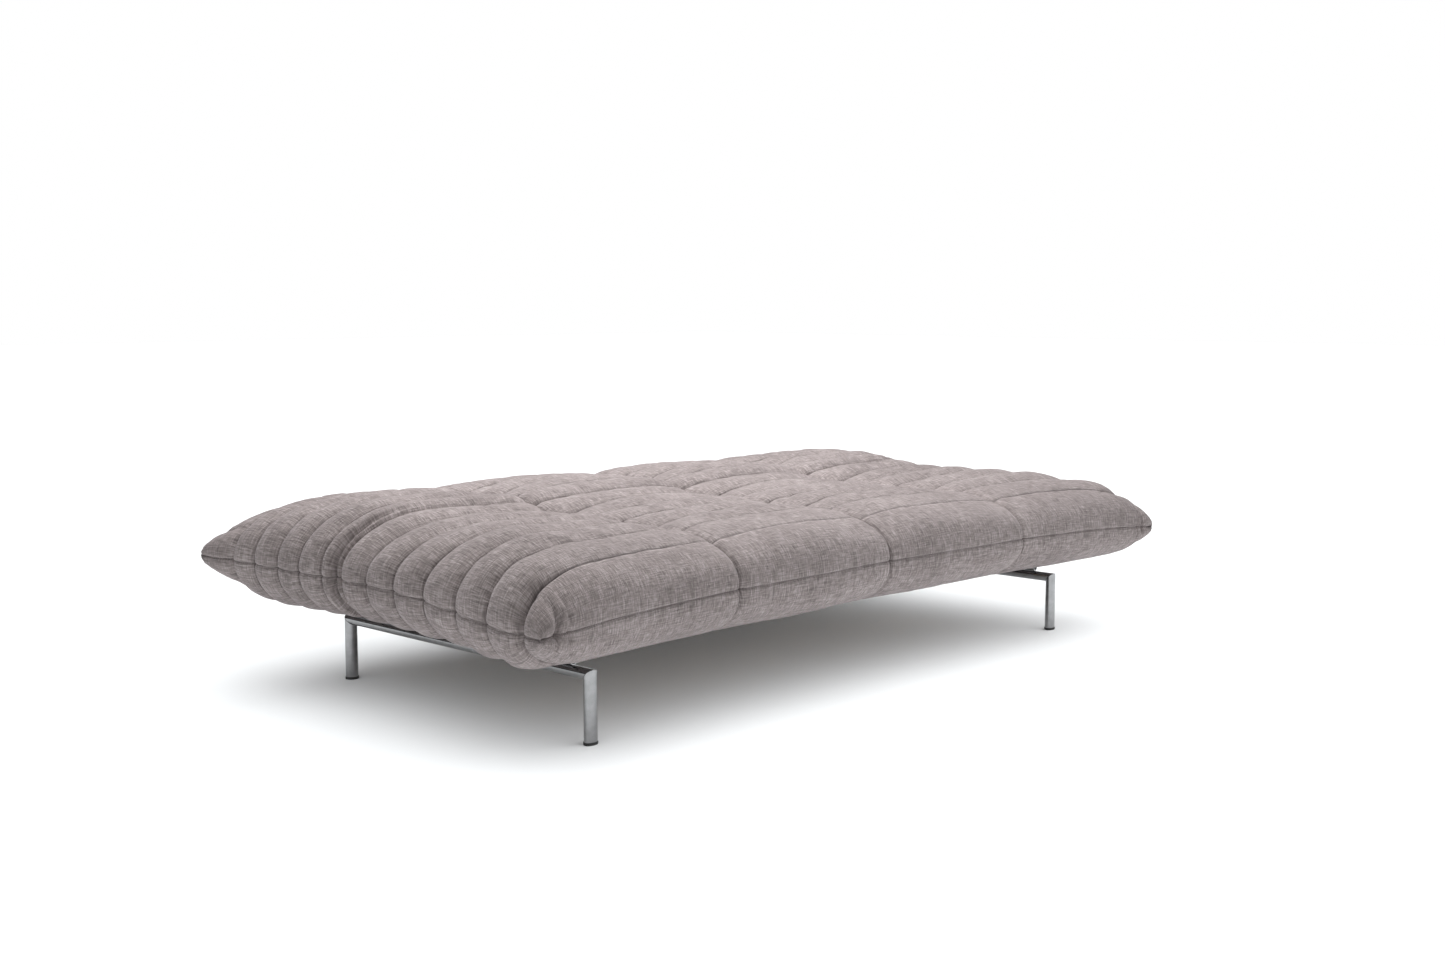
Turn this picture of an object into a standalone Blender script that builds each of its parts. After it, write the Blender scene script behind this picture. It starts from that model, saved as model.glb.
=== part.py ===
"""Futon sofa bed, lying flat as a bed.

Metres, +Z up, +X to the right-hand end, -Y to the front. The origin is the centre of the
object's outline on the floor. Two chromed end frames carry a slatted seat deck. A second
slatted deck, under the back half of the mattress, turns up about the fold on two pins.
"""

from math import cos, pi, radians, sin

import bmesh
import bpy
from mathutils import Vector

# Mattress outline at the half-height seam: the four corners stand out, the sides are drawn in.
CORNER_X = 1.098
CORNER_Y = 0.625
END_DRAWN_IN = 0.063
SIDE_DRAWN_IN = 0.050
OUTLINE_POWER = 1.6

# Mattress section, measured from the seam.
SEAM_Z = 0.285
BELLY = 0.103
CROWN_SEAT = 0.125
CROWN_BACK = 0.156
CROWN_RISE_Y = 0.240
EDGE_ROUNDING = 0.150
FOLD_ROUNDING = 0.110
ROUND_POWER = 2.2
COVER_TOP_THICKNESS = 0.006
COVER_BOTTOM_THICKNESS = 0.004
FOAM_CLEARANCE = 0.001
COLUMNS = 16
ROWS = 8

# The fold, and the axis that the back half turns about.
FOLD_Y = 0.130
FOLD_GAP = 0.010
PIVOT_Z = 0.345

# End frames: a flat oval tube, its shallow side outwards on the legs and upwards on the rails.
FRAME_X = 0.835
FRAME_FRONT_Y = -0.4755
FRAME_REAR_Y = 0.4025
RAIL_TOP = 0.156
TUBE_WIDTH = 0.031
TUBE_DEPTH = 0.024
TUBE_CROWN = 0.008
TUBE_STEPS = 28
GLIDE_HEIGHT = 0.006
GLIDE_LIP = 0.0012

# Decks.
GAP = 0.0003
ROUND_TUBE_RADIUS = 0.008
ROUND_TUBE_BORE = 0.006
ROUND_TUBE_BORE_DEPTH = 0.030
BEAM_WIDTH = 0.030
BEAM_HEIGHT = 0.0165
SEAT_DECK_Y = (-0.415, 0.105)
BACK_DECK_Y = (0.155, 0.485)
SEAT_BEAMS_Y = {"front": -0.330, "rear": 0.090}
BACK_BEAMS_Y = {"lower": 0.170, "upper": 0.405}
SEAT_SLATS_Y = (-0.370, 0.0975)
BACK_SLATS_Y = (0.1625, 0.440)
SLATS = 7
SLAT_PITCH = 0.225
SLAT_WIDTH = 0.053
SLAT_THICKNESS = 0.008
EDGE_BEVEL = 0.0015
SEGMENTS = 20

# Recline fittings: a seat-side bracket and a back-side arm, side by side on one pin.
FITTING_X = 0.800
PLATE_THICKNESS = 0.005
PLATE_SPACING = 0.006
BOSS_RADIUS = 0.018
PIN_RADIUS = 0.006
PIN_HEAD_RADIUS = 0.010
PIN_HEAD_THICKNESS = 0.003
SLOT_WIDTH = 0.026
SLOT_MARGIN = 0.004

# Bolts between the rails and the seat deck.
BOLT_Y = {"front": -0.340, "rear": 0.050}
BOLT_RADIUS = 0.004
BOLT_HEAD_RADIUS = 0.0065
BOLT_HEAD_Z = (0.1327, 0.1375)
BOLT_TIP_Z = 0.163

SIDES = {"left": -1, "right": 1}
X_AXIS = Vector((1, 0, 0))
Y_AXIS = Vector((0, 1, 0))
Z_AXIS = Vector((0, 0, 1))


def make_material(name, colour, metallic, roughness):
    made = bpy.data.materials.new(name)
    made.use_nodes = True
    shader = made.node_tree.nodes["Principled BSDF"]
    shader.inputs["Base Color"].default_value = (*colour, 1)
    shader.inputs["Metallic"].default_value = metallic
    shader.inputs["Roughness"].default_value = roughness
    return made


def make_object(name, bm, surface, origin=(0, 0, 0)):
    """An object from a bmesh in world coordinates, with its own origin where it is asked for."""
    bmesh.ops.recalc_face_normals(bm, faces=bm.faces)
    if bm.calc_volume(signed=True) < 0:
        bmesh.ops.reverse_faces(bm, faces=bm.faces)
    bmesh.ops.translate(bm, vec=-Vector(origin), verts=bm.verts)
    mesh = bpy.data.meshes.new(name)
    bm.to_mesh(mesh)
    bm.free()
    mesh.materials.append(surface)
    mesh.shade_smooth()
    mesh.set_sharp_from_angle(angle=radians(35))
    made = bpy.data.objects.new(name, mesh)
    made.location = origin
    bpy.context.scene.collection.objects.link(made)
    return made


def make_cutter(name, bm):
    made = make_object(name, bm, materials["cutter"])
    made.hide_render = True
    made.display_type = "WIRE"
    return made


def cut(target, tool):
    modifier = target.modifiers.new(tool.name, "BOOLEAN")
    modifier.operation = "DIFFERENCE"
    modifier.solver = "EXACT"
    modifier.object = tool


def loft(rings):
    """A closed body through rings of equally many points, with a flat cap at each end."""
    bm = bmesh.new()
    loops = [[bm.verts.new(point) for point in ring] for ring in rings]
    count = len(loops[0])
    for lower, upper in zip(loops, loops[1:]):
        for i in range(count):
            j = (i + 1) % count
            bm.faces.new((lower[i], lower[j], upper[j], upper[i]))
    bm.faces.new(list(reversed(loops[0])))
    bm.faces.new(loops[-1])
    return bm


def turned(base, axis, profile):
    """A body turned about an axis through base. The profile is (distance along, radius) pairs."""
    side = axis.orthogonal().normalized()
    other = axis.cross(side)
    angles = [2 * pi * step / SEGMENTS for step in range(SEGMENTS)]
    rings = []
    for along, radius in profile:
        centre = Vector(base) + along * axis
        rings.append([centre + radius * (cos(a) * side + sin(a) * other) for a in angles])
    return loft(rings)


def box(low, high, bevel=EDGE_BEVEL):
    bm = bmesh.new()
    bmesh.ops.create_cube(bm, size=1)
    bmesh.ops.scale(bm, vec=Vector(high) - Vector(low), verts=bm.verts)
    bmesh.ops.translate(bm, vec=(Vector(high) + Vector(low)) / 2, verts=bm.verts)
    if bevel:
        bmesh.ops.bevel(bm, geom=bm.edges, offset=bevel, segments=1, affect="EDGES")
    return bm


# End frames


def tube_section(grow=0.0):
    """The oval section as (across, depth) pairs. Depth is 0 on the crest of the shallow side."""
    half = TUBE_WIDTH / 2 + grow
    ring = []
    for step in range(TUBE_STEPS):
        angle = 2 * pi * step / TUBE_STEPS
        side = TUBE_DEPTH - TUBE_CROWN if sin(angle) > 0 else TUBE_CROWN
        ring.append((half * cos(angle), TUBE_CROWN + (side + grow) * sin(angle)))
    return ring


def make_leg(name, side_sign, y_crest, inward):
    """A leg whose top is cut at 45 degrees, for the mitre with the rail."""
    section = tube_section()
    bottom = GLIDE_HEIGHT + GAP
    rings = []
    for at_top in (False, True):
        ring = []
        for across, depth in section:
            top = RAIL_TOP - depth - 2 * GAP if at_top else bottom
            ring.append((side_sign * FRAME_X + across, y_crest + inward * depth, top))
        rings.append(ring)
    return make_object(name, loft(rings), materials["chrome"])


def make_rail(name, side_sign):
    """A rail with both ends cut at 45 degrees."""
    section = tube_section()
    rings = []
    for y_crest, inward in ((FRAME_FRONT_Y, 1), (FRAME_REAR_Y, -1)):
        ring = []
        for across, depth in section:
            y = y_crest + inward * (depth + 2 * GAP)
            ring.append((side_sign * FRAME_X + across, y, RAIL_TOP - depth))
        rings.append(ring)
    return make_object(name, loft(rings), materials["chrome"])


def make_glide(name, side_sign, y_crest, inward):
    """A cap a little wider than the leg, with its lower edge turned in."""
    rings = []
    for z, grow in ((0, 0), (GLIDE_LIP, GLIDE_LIP), (GLIDE_HEIGHT, GLIDE_LIP)):
        x_centre = side_sign * FRAME_X
        rings.append([(x_centre + a, y_crest + inward * d, z) for a, d in tube_section(grow)])
    return make_object(name, loft(rings), materials["black_plastic"])


def make_bolt(name, side_sign, y):
    base = (side_sign * FRAME_X, y, 0)
    low, high = BOLT_HEAD_Z
    profile = (
        (low, BOLT_HEAD_RADIUS - EDGE_BEVEL),
        (low + EDGE_BEVEL, BOLT_HEAD_RADIUS),
        (high, BOLT_HEAD_RADIUS),
        (high, BOLT_RADIUS),
        (BOLT_TIP_Z, BOLT_RADIUS),
    )
    return make_object(name, turned(base, Z_AXIS, profile), materials["steel"])


def make_bolt_hole(name, side_sign, y):
    """The bolt's clearance: a recess for the head and a hole that ends just past the tip."""
    base = (side_sign * FRAME_X, y, 0)
    head_top = BOLT_HEAD_Z[1] + GAP
    below_rail = RAIL_TOP - 2 * TUBE_DEPTH
    profile = (
        (below_rail, BOLT_HEAD_RADIUS + GAP * 2),
        (head_top, BOLT_HEAD_RADIUS + GAP * 2),
        (head_top, BOLT_RADIUS + GAP),
        (BOLT_TIP_Z + GAP, BOLT_RADIUS + GAP),
    )
    return make_cutter(name, turned(base, Z_AXIS, profile))


def make_end_frame(side, side_sign):
    ends = {"front": (FRAME_FRONT_Y, 1), "rear": (FRAME_REAR_Y, -1)}
    for end, (y_crest, inward) in ends.items():
        make_leg(f"leg_{end}_{side}", side_sign, y_crest, inward)
        make_glide(f"glide_{end}_{side}", side_sign, y_crest, inward)
    rail = make_rail(f"end_rail_{side}", side_sign)
    holes = []
    for end, y in BOLT_Y.items():
        make_bolt(f"frame_bolt_{end}_{side}", side_sign, y)
        holes.append(make_bolt_hole(f"bolt_hole_{end}_{side}", side_sign, y))
        cut(rail, holes[-1])
    return holes


# Decks


def make_side_tube(name, side_sign, deck_y, parent):
    """A round tube on the rail, open at its front end."""
    base = (side_sign * FRAME_X, 0, RAIL_TOP + GAP + ROUND_TUBE_RADIUS)
    front, rear = deck_y
    profile = (
        (rear, ROUND_TUBE_RADIUS),
        (front, ROUND_TUBE_RADIUS),
        (front, ROUND_TUBE_BORE),
        (front + ROUND_TUBE_BORE_DEPTH, ROUND_TUBE_BORE),
    )
    tube = turned(base, Y_AXIS, profile)
    return adopt(make_object(name, tube, materials["steel"]), parent)


def make_beam(name, y, parent):
    """A flat tube between the two side tubes of a deck."""
    half = FRAME_X - ROUND_TUBE_RADIUS - GAP
    bottom = RAIL_TOP + GAP
    low = (-half, y - BEAM_WIDTH / 2, bottom)
    high = (half, y + BEAM_WIDTH / 2, bottom + BEAM_HEIGHT)
    return adopt(make_object(name, box(low, high), materials["black_steel"]), parent)


def make_slat(name, x, ends_y, parent):
    bottom = RAIL_TOP + BEAM_HEIGHT + 2 * GAP
    low = (x - SLAT_WIDTH / 2, ends_y[0], bottom)
    high = (x + SLAT_WIDTH / 2, ends_y[1], bottom + SLAT_THICKNESS)
    return adopt(make_object(name, box(low, high), materials["wood"]), parent)


def adopt(made, parent):
    """Puts an object under a parent empty without moving it."""
    if parent:
        made.parent = parent
        made.location -= parent.location
    return made


def make_deck(prefix, deck_y, beams_y, slats_y, parent):
    tubes = {}
    for side, side_sign in SIDES.items():
        name = f"{prefix}_side_tube_{side}"
        tubes[side] = make_side_tube(name, side_sign, deck_y, parent)
    for name, y in beams_y.items():
        make_beam(f"{prefix}_beam_{name}", y, parent)
    for i in range(SLATS):
        x = (i - (SLATS - 1) / 2) * SLAT_PITCH
        make_slat(f"{prefix}_slat_{i + 1}", x, slats_y, parent)
    return tubes


# Recline fittings


def make_plate(name, x, foot_y, parent):
    """A plate in the YZ plane: a foot on the deck's beam, a round boss about the pin."""
    half = PLATE_THICKNESS / 2
    foot_z = RAIL_TOP + BEAM_HEIGHT + 2 * GAP
    outward = 1 if foot_y > FOLD_Y else -1
    foot_near = foot_y - outward * BEAM_WIDTH / 2
    foot_far = foot_y + outward * BEAM_WIDTH / 2
    outline = [(foot_near, foot_z), (foot_far, foot_z)]
    steps = SEGMENTS // 2 + 1
    for step in range(steps + 1):
        angle = pi * step / steps
        y = FOLD_Y + outward * BOSS_RADIUS * cos(angle)
        outline.append((y, PIVOT_Z + BOSS_RADIUS * sin(angle)))
    rings = [[(x + offset, y, z) for y, z in outline] for offset in (-half, half)]
    plate = make_object(name, loft(rings), materials["black_steel"])
    hole_base = (x - PLATE_THICKNESS, FOLD_Y, PIVOT_Z)
    hole_profile = ((0, PIN_RADIUS + GAP), (2 * PLATE_THICKNESS, PIN_RADIUS + GAP))
    cut(plate, make_cutter(f"{name}_pin_hole", turned(hole_base, X_AXIS, hole_profile)))
    return adopt(plate, parent)


def make_pin(name, centre_x):
    """A pin through bracket and arm, with a head at each end."""
    grip = (PLATE_SPACING + PLATE_THICKNESS) / 2 + GAP
    head = grip + PIN_HEAD_THICKNESS
    profile = (
        (-head, PIN_HEAD_RADIUS - EDGE_BEVEL),
        (-head + EDGE_BEVEL, PIN_HEAD_RADIUS),
        (-grip, PIN_HEAD_RADIUS),
        (-grip, PIN_RADIUS),
        (grip, PIN_RADIUS),
        (grip, PIN_HEAD_RADIUS),
        (head - EDGE_BEVEL, PIN_HEAD_RADIUS),
        (head, PIN_HEAD_RADIUS - EDGE_BEVEL),
    )
    centre = (centre_x, FOLD_Y, PIVOT_Z)
    return make_object(name, turned(centre, X_AXIS, profile), materials["steel"], centre)


def make_fitting(side, side_sign, back):
    centre_x = side_sign * FITTING_X
    bracket_x = centre_x - side_sign * PLATE_SPACING / 2
    arm_x = centre_x + side_sign * PLATE_SPACING / 2
    make_plate(f"hinge_bracket_{side}", bracket_x, SEAT_BEAMS_Y["rear"], None)
    make_plate(f"hinge_arm_{side}", arm_x, BACK_BEAMS_Y["lower"], back)
    make_pin(f"hinge_pin_{side}", centre_x)


# Mattress


def end_x(y):
    """Half the mattress's length at y, along the seam."""
    return CORNER_X - END_DRAWN_IN * (1 - (abs(y) / CORNER_Y) ** OUTLINE_POWER)


def side_y(x):
    """The mattress's long edge at x, along the seam, measured from the centre line."""
    return CORNER_Y - SIDE_DRAWN_IN * (1 - (abs(x) / CORNER_X) ** OUTLINE_POWER)


def rounded(distance, radius):
    """A rise from 0 at an edge to 1 at radius from it, steep at first."""
    left = 1 - min(max(distance / radius, 0), 1)
    return (1 - left**ROUND_POWER) ** (1 / ROUND_POWER)


def crown(y):
    """The mattress's height above its seam, a little fuller towards the back."""
    t = min(max(y / CROWN_RISE_Y, 0), 1)
    return CROWN_SEAT + (CROWN_BACK - CROWN_SEAT) * t * t * (3 - 2 * t)


def pillow_surface(outward, inset, upper):
    """Rows of points over one half of the mattress, from its long edge to the fold.

    outward is -1 for the seat half and 1 for the back half. inset moves the surface inwards.
    """
    fold = FOLD_Y + outward * (FOLD_GAP / 2 + inset)
    rows = []
    for j in range(ROWS + 1):
        # Points gather where the surface turns, at the edges.
        v = 0.5 - 0.5 * cos(pi * j / ROWS)
        row = []
        for i in range(COLUMNS + 1):
            u = -cos(pi * i / COLUMNS)
            edge = outward * (side_y(u * CORNER_X) - inset)
            y = edge + (fold - edge) * v
            half = end_x(y) - inset
            x = u * half
            rise = rounded(half - abs(x), EDGE_ROUNDING)
            rise *= rounded(abs(y - edge), EDGE_ROUNDING)
            rise *= rounded(abs(y - fold), FOLD_ROUNDING)
            height = (crown(y) if upper else -BELLY) * rise
            depth = inset * rise if upper else -inset * rise
            row.append(Vector((x, y, SEAM_Z + height - depth)))
        rows.append(row)
    return rows


def border(rows):
    """The outline of a grid of rows, once round."""
    first, last = rows[0], rows[-1]
    right = [row[-1] for row in rows[1:-1]]
    left = [row[0] for row in rows[1:-1]]
    return first + right + list(reversed(last)) + list(reversed(left))


def add_grid(bm, rows):
    """Triangles over a grid. The diagonals of the four quarters all run in from the corners."""
    grid = [[bm.verts.new(point) for point in row] for row in rows]
    for j, (row, following) in enumerate(zip(grid, grid[1:])):
        for i in range(COLUMNS):
            a, b, c, d = row[i], row[i + 1], following[i + 1], following[i]
            if (i < COLUMNS / 2) == (j < ROWS / 2):
                bm.faces.new((a, b, c))
                bm.faces.new((a, c, d))
            else:
                bm.faces.new((a, b, d))
                bm.faces.new((b, c, d))
    return border(grid)


def between(outer, inner):
    """A closed body between two grids that are joined round their outlines."""
    bm = bmesh.new()
    first, second = add_grid(bm, outer), add_grid(bm, inner)
    for i in range(len(first)):
        j = (i + 1) % len(first)
        bm.faces.new((first[i], first[j], second[j], second[i]))
    return bm


def lifted(rows, distance):
    return [[point + distance * Z_AXIS for point in row] for row in rows]


def make_slot(name, outward, side_sign):
    """Room in one mattress half for the fitting: open towards the fold and downwards."""
    below = SEAM_Z - BELLY - SLOT_MARGIN * 2
    above = PIVOT_Z + BOSS_RADIUS + SLOT_MARGIN
    beside_foot = FOLD_Y + outward * (FOLD_Y - SEAT_DECK_Y[1] + BEAM_WIDTH + SLOT_MARGIN)
    beside_boss = FOLD_Y + outward * (BOSS_RADIUS + SLOT_MARGIN)
    past_fold = FOLD_Y - outward * BEAM_WIDTH * 2
    outline = (
        (beside_foot, below),
        (beside_boss, PIVOT_Z - BOSS_RADIUS),
        (beside_boss, above),
        (past_fold, above),
        (past_fold, below),
    )
    centre_x = side_sign * FITTING_X
    walls = (centre_x - SLOT_WIDTH / 2, centre_x + SLOT_WIDTH / 2)
    rings = [[(x, y, z) for y, z in outline] for x in walls]
    return make_cutter(name, loft(rings))


def make_mattress_half(prefix, outward, parent):
    seam_gap = GAP / 2
    outer_top = lifted(pillow_surface(outward, 0, True), seam_gap)
    inner_top = lifted(pillow_surface(outward, COVER_TOP_THICKNESS, True), seam_gap)
    outer_bottom = lifted(pillow_surface(outward, 0, False), -seam_gap)
    inner_bottom = lifted(pillow_surface(outward, COVER_BOTTOM_THICKNESS, False), -seam_gap)
    foam_inset = COVER_TOP_THICKNESS + FOAM_CLEARANCE
    foam_top = pillow_surface(outward, foam_inset, True)
    foam_bottom = lifted(pillow_surface(outward, foam_inset, False), -GAP)
    shapes = {
        f"{prefix}_cover_top": (between(outer_top, inner_top), "fabric"),
        f"{prefix}_cover_bottom": (between(outer_bottom, inner_bottom), "fabric"),
        f"{prefix}_foam": (between(foam_top, foam_bottom), "foam"),
    }
    slots = [make_slot(f"{prefix}_slot_{s}", outward, sign) for s, sign in SIDES.items()]
    for name, (bm, surface) in shapes.items():
        piece = make_object(name, bm, materials[surface])
        for slot in slots:
            cut(piece, slot)
        adopt(piece, parent)


for leftover in list(bpy.data.objects):
    bpy.data.objects.remove(leftover, do_unlink=True)

materials = {
    "chrome": make_material("chrome", (0.62, 0.62, 0.63), 1.0, 0.12),
    "steel": make_material("steel", (0.45, 0.45, 0.46), 0.9, 0.35),
    "black_steel": make_material("black_steel", (0.02, 0.02, 0.02), 0.3, 0.45),
    "black_plastic": make_material("black_plastic", (0.015, 0.015, 0.015), 0.0, 0.5),
    "wood": make_material("wood", (0.55, 0.38, 0.22), 0.0, 0.6),
    "foam": make_material("foam", (0.75, 0.70, 0.55), 0.0, 0.95),
    "fabric": make_material("fabric", (0.30, 0.27, 0.26), 0.0, 0.9),
    "cutter": make_material("cutter", (1.0, 0.0, 0.0), 0.0, 0.5),
}

back_axis = bpy.data.objects.new("back_axis", None)
back_axis.location = (0, FOLD_Y, PIVOT_Z)
bpy.context.scene.collection.objects.link(back_axis)

seat_tubes = make_deck("seat", SEAT_DECK_Y, SEAT_BEAMS_Y, SEAT_SLATS_Y, None)
make_deck("back", BACK_DECK_Y, BACK_BEAMS_Y, BACK_SLATS_Y, back_axis)
for side, side_sign in SIDES.items():
    for hole in make_end_frame(side, side_sign):
        cut(seat_tubes[side], hole)
    make_fitting(side, side_sign, back_axis)
make_mattress_half("seat", -1, None)
make_mattress_half("back", 1, back_axis)
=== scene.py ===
"""Looks of a futon sofa bed: a quilted mattress that folds where the back tilts, on a slim chromed frame.

Metres, +Z up, front edge at -Y. The mattress is two sewn panels, top and bottom, which meet at a seam
half way up its side. Every point of a panel has a place (across, along) on the cloth, and the shape is
worked out there: outline, rounding, sewn channels, cross seams, tufts and creases.
"""

import math

import bpy
import numpy as np
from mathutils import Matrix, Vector


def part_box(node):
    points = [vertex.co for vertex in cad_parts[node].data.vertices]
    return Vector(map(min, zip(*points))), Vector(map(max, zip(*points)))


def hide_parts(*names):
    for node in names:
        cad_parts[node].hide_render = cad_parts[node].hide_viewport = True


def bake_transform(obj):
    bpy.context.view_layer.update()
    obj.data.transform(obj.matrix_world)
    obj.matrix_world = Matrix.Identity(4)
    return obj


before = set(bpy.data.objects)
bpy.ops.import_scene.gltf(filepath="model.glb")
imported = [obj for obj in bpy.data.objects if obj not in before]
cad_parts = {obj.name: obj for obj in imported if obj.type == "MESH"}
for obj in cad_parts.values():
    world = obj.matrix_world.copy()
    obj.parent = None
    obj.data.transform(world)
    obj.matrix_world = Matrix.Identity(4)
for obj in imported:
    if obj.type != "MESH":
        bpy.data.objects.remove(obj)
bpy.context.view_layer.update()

# --- Places taken from the frame ---------------------------------------------------------------

SEAT_LOW, SEAT_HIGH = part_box("seat_cover_top")
BACK_LOW, BACK_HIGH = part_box("back_cover_top")
BELLY_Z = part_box("seat_cover_bottom")[0].z

HALF_X = SEAT_HIGH.x
HALF_Y = BACK_HIGH.y
SEAM_Z = SEAT_LOW.z
SEAT_TOP_Z = SEAT_HIGH.z
BACK_TOP_Z = BACK_HIGH.z

# --- Mattress: shape constants -----------------------------------------------------------------

END_DRAWN_IN = 0.063      # how far the middle of an end sits inside its corners
FRONT_DRAWN_IN, BACK_DRAWN_IN = 0.050, 0.022     # the same for the long sides
OUTLINE_POWER = 1.6

# Padded edges are superellipses: how far in from the seam the full height is reached, and the power.
END_ROUNDING, END_POWER = 0.270, 2.1
END_FULLER = 0.14         # the ends reach it this share sooner in front, and half as much later at the back
END_SQUARER = 0.2         # and the power is this much more at the front
FRONT_ROUNDING, BACK_ROUNDING, SIDE_POWER = 0.215, 0.135, 2.2
BELLY_END, BELLY_FRONT, BELLY_BACK, BELLY_POWER = 0.225, 0.190, 0.230, 2.2

SEAM_LIFT = 0.010         # the side seam's middle, over the height in the frame
FRONT_EAR_DROP = 0.022    # from there down to the front corners
BACK_EAR_LIFT = 0.006     # from there up to the back corners
EAR_POWER = 5             # how late towards the corners that comes
EAR_CUT = 0.002           # how much the tips are rounded off
EAR_REACH = 0.070
END_SLOPE, SIDE_SLOPE = 0.16, 0.07     # how much the outline turns from square at the corners
CROWN_SUNK = 0.010        # the crown lies this much under the puffs
BACK_RISES_OVER = 0.24    # behind the middle it comes up to the back's height over this distance
BACK_FALL = 0.014         # and comes down this much towards the back edge

# Channel seams as shares of the half depth: along the middle of the bed, and where they meet the ends.
CHANNEL_SEAMS = (-0.832, -0.645, -0.465, -0.293, -0.125, 0.055, 0.210, 0.345, 0.500, 0.650, 0.790, 0.900)
SEAMS_AT_ENDS = (-0.885, -0.694, -0.502, -0.306, -0.122, 0.045, 0.210, 0.295, 0.420, 0.545, 0.680, 0.805)
FOLD_SEAM = 0.210
SECOND_FOLD_Y = 0.157     # a crease beside the fold, at the ends only
CROSS_SEAMS = (-0.475, 0.0, 0.475)
STITCH_BESIDE = -0.0062   # the topstitching, in front of each channel seam

# Grooves of the sewn lines: depth and width.
DITCH = (0.0065, 0.0032)            # a channel seam
STITCH = (0.0012, 0.0018)           # the topstitching beside it
CROSS = (0.0060, 0.0035)            # a cross seam
VALLEY = (0.010, 0.020)             # the hollow round a cross seam, on top
FRONT_VALLEY = (0.004, 0.010)       # and where it goes down the front
SECOND_FOLD = (0.026, 0.0060)
SIDE_SEAM = (0.0035, 0.0030)
SECOND_FOLD_REACH = 0.20
NOTCH_WIDTH, NOTCH_TOP, NOTCH_BOTTOM = 0.045, 0.020, 0.002    # the middle cross seam's, towards the back
FOLD_WIDTH, FOLD_DEPTH, FOLD_DEEPER = 0.018, 0.003, 0.024     # the main fold, and how much deeper at the ends
BOTTOM_GROOVES = 0.8                # the bottom panel's grooves, as a share of the top's

# Painted lines in the cloth's colour, by width: painted shade in the seams, a painted highlight on the
# topstitching.
CHANNEL_LINE, CROSS_LINE, SIDE_LINE, STITCH_LINE = 0.0024, 0.0016, 0.0012, 0.0016
SIDE_LINE_SHADE, STITCH_HIGHLIGHT = 0.9, 0.8     # how strong the side seam's painted shade and the topstitching's painted highlight are, beside the channel seams' 1

# Tufts pull the cloth down where a channel seam meets a cross seam.
TUFT_SEAMS = ((-0.465, 0.020), (0.055, 0.024), (0.500, 0.037))    # channel seam, depth
TUFT_WIDE, TUFT_NARROW = 0.085, 0.030
TUFT_SQUEEZE = 0.9                  # a distance along the bed counts this much, so they are longer that way

# Gathered folds beside the corners: distance from the corner, depth, width, and how far in they go.
EAR_FOLDS = ((0.050, 0.018, 0.008, 0.080), (0.076, 0.007, 0.006, 0.060))    # on the long sides
BACK_END_FOLD = (0.115, 0.012, 0.010, 0.070)                                # on the ends, at the back
FRONT_END_FOLD = (0.016, 0.010, 0.085)     # and in front: it lies at the first channel seam
TIP_DIMPLE, TIP_WIDTH, TIP_HEIGHT = 0.010, 0.035, 0.020

# Puffs between the seams, in metres.
END_CHANNEL_PUFF = 0.0175
FRONT_CHANNEL_PUFF = 0.0065
BACK_CHANNEL_PUFF = 0.0105
COLUMN_PUFF = 0.0110
CHANNEL_WIDTH = 0.11      # a channel this wide has the full puff
EDGE_CHANNEL = 0.35       # the outermost channels, as a share of the others
BOTTOM_CHANNELS, BOTTOM_COLUMNS = 0.75, 0.6

# Cloth simulation: how much bigger the cloth is than its outline, and how far a point may move.
CLOTH_FRAMES = 20
CLOTH_PRESSURE = 8.0
CLOTH_EXCESS = 0.010
CLOTH_REACH = 0.012
CLOTH_QUALITY, CLOTH_STIFFNESS, CLOTH_BENDING = 5, 15, 5.0
RESTING = 0.006           # the belly within this of its lowest rests on the slats
EAR_FOLD_HELD = 0.075     # how far in from the side the gathered folds are held
SECOND_FOLD_HELD = 0.22   # how far in from the end the second fold is held

# Wrinkles, all from noise with a fixed seed: height and size.
WRINKLE_SEED = 11
SOFT_WRINKLES = ((0.0024, 0.115), (0.0011, 0.048))
CHANNEL_PUCKER, CROSS_PUCKER = (0.0011, 0.021), (0.0018, 0.026)
NOISE_TABLE = (97, 89)


def smooth(t):
    t = np.clip(t, 0.0, 1.0)
    return t * t * (3 - 2 * t)


def rising(value, start, over):
    """0 up to start, and from there smoothly up to 1 over that distance."""
    return smooth((value - start) / over)


def falling(value, start, over):
    """0 from start on, and 1 once the value is that distance below it."""
    return smooth((start - value) / over)


def superellipse(t, power):
    """Height of a padded edge: 0 at the seam, 1 from t = 1 inwards."""
    return (1 - (1 - np.clip(t, 0, 1)) ** power) ** (1 / power)


def gauss(distance, width):
    return np.exp(-(distance / width) ** 2)


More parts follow.
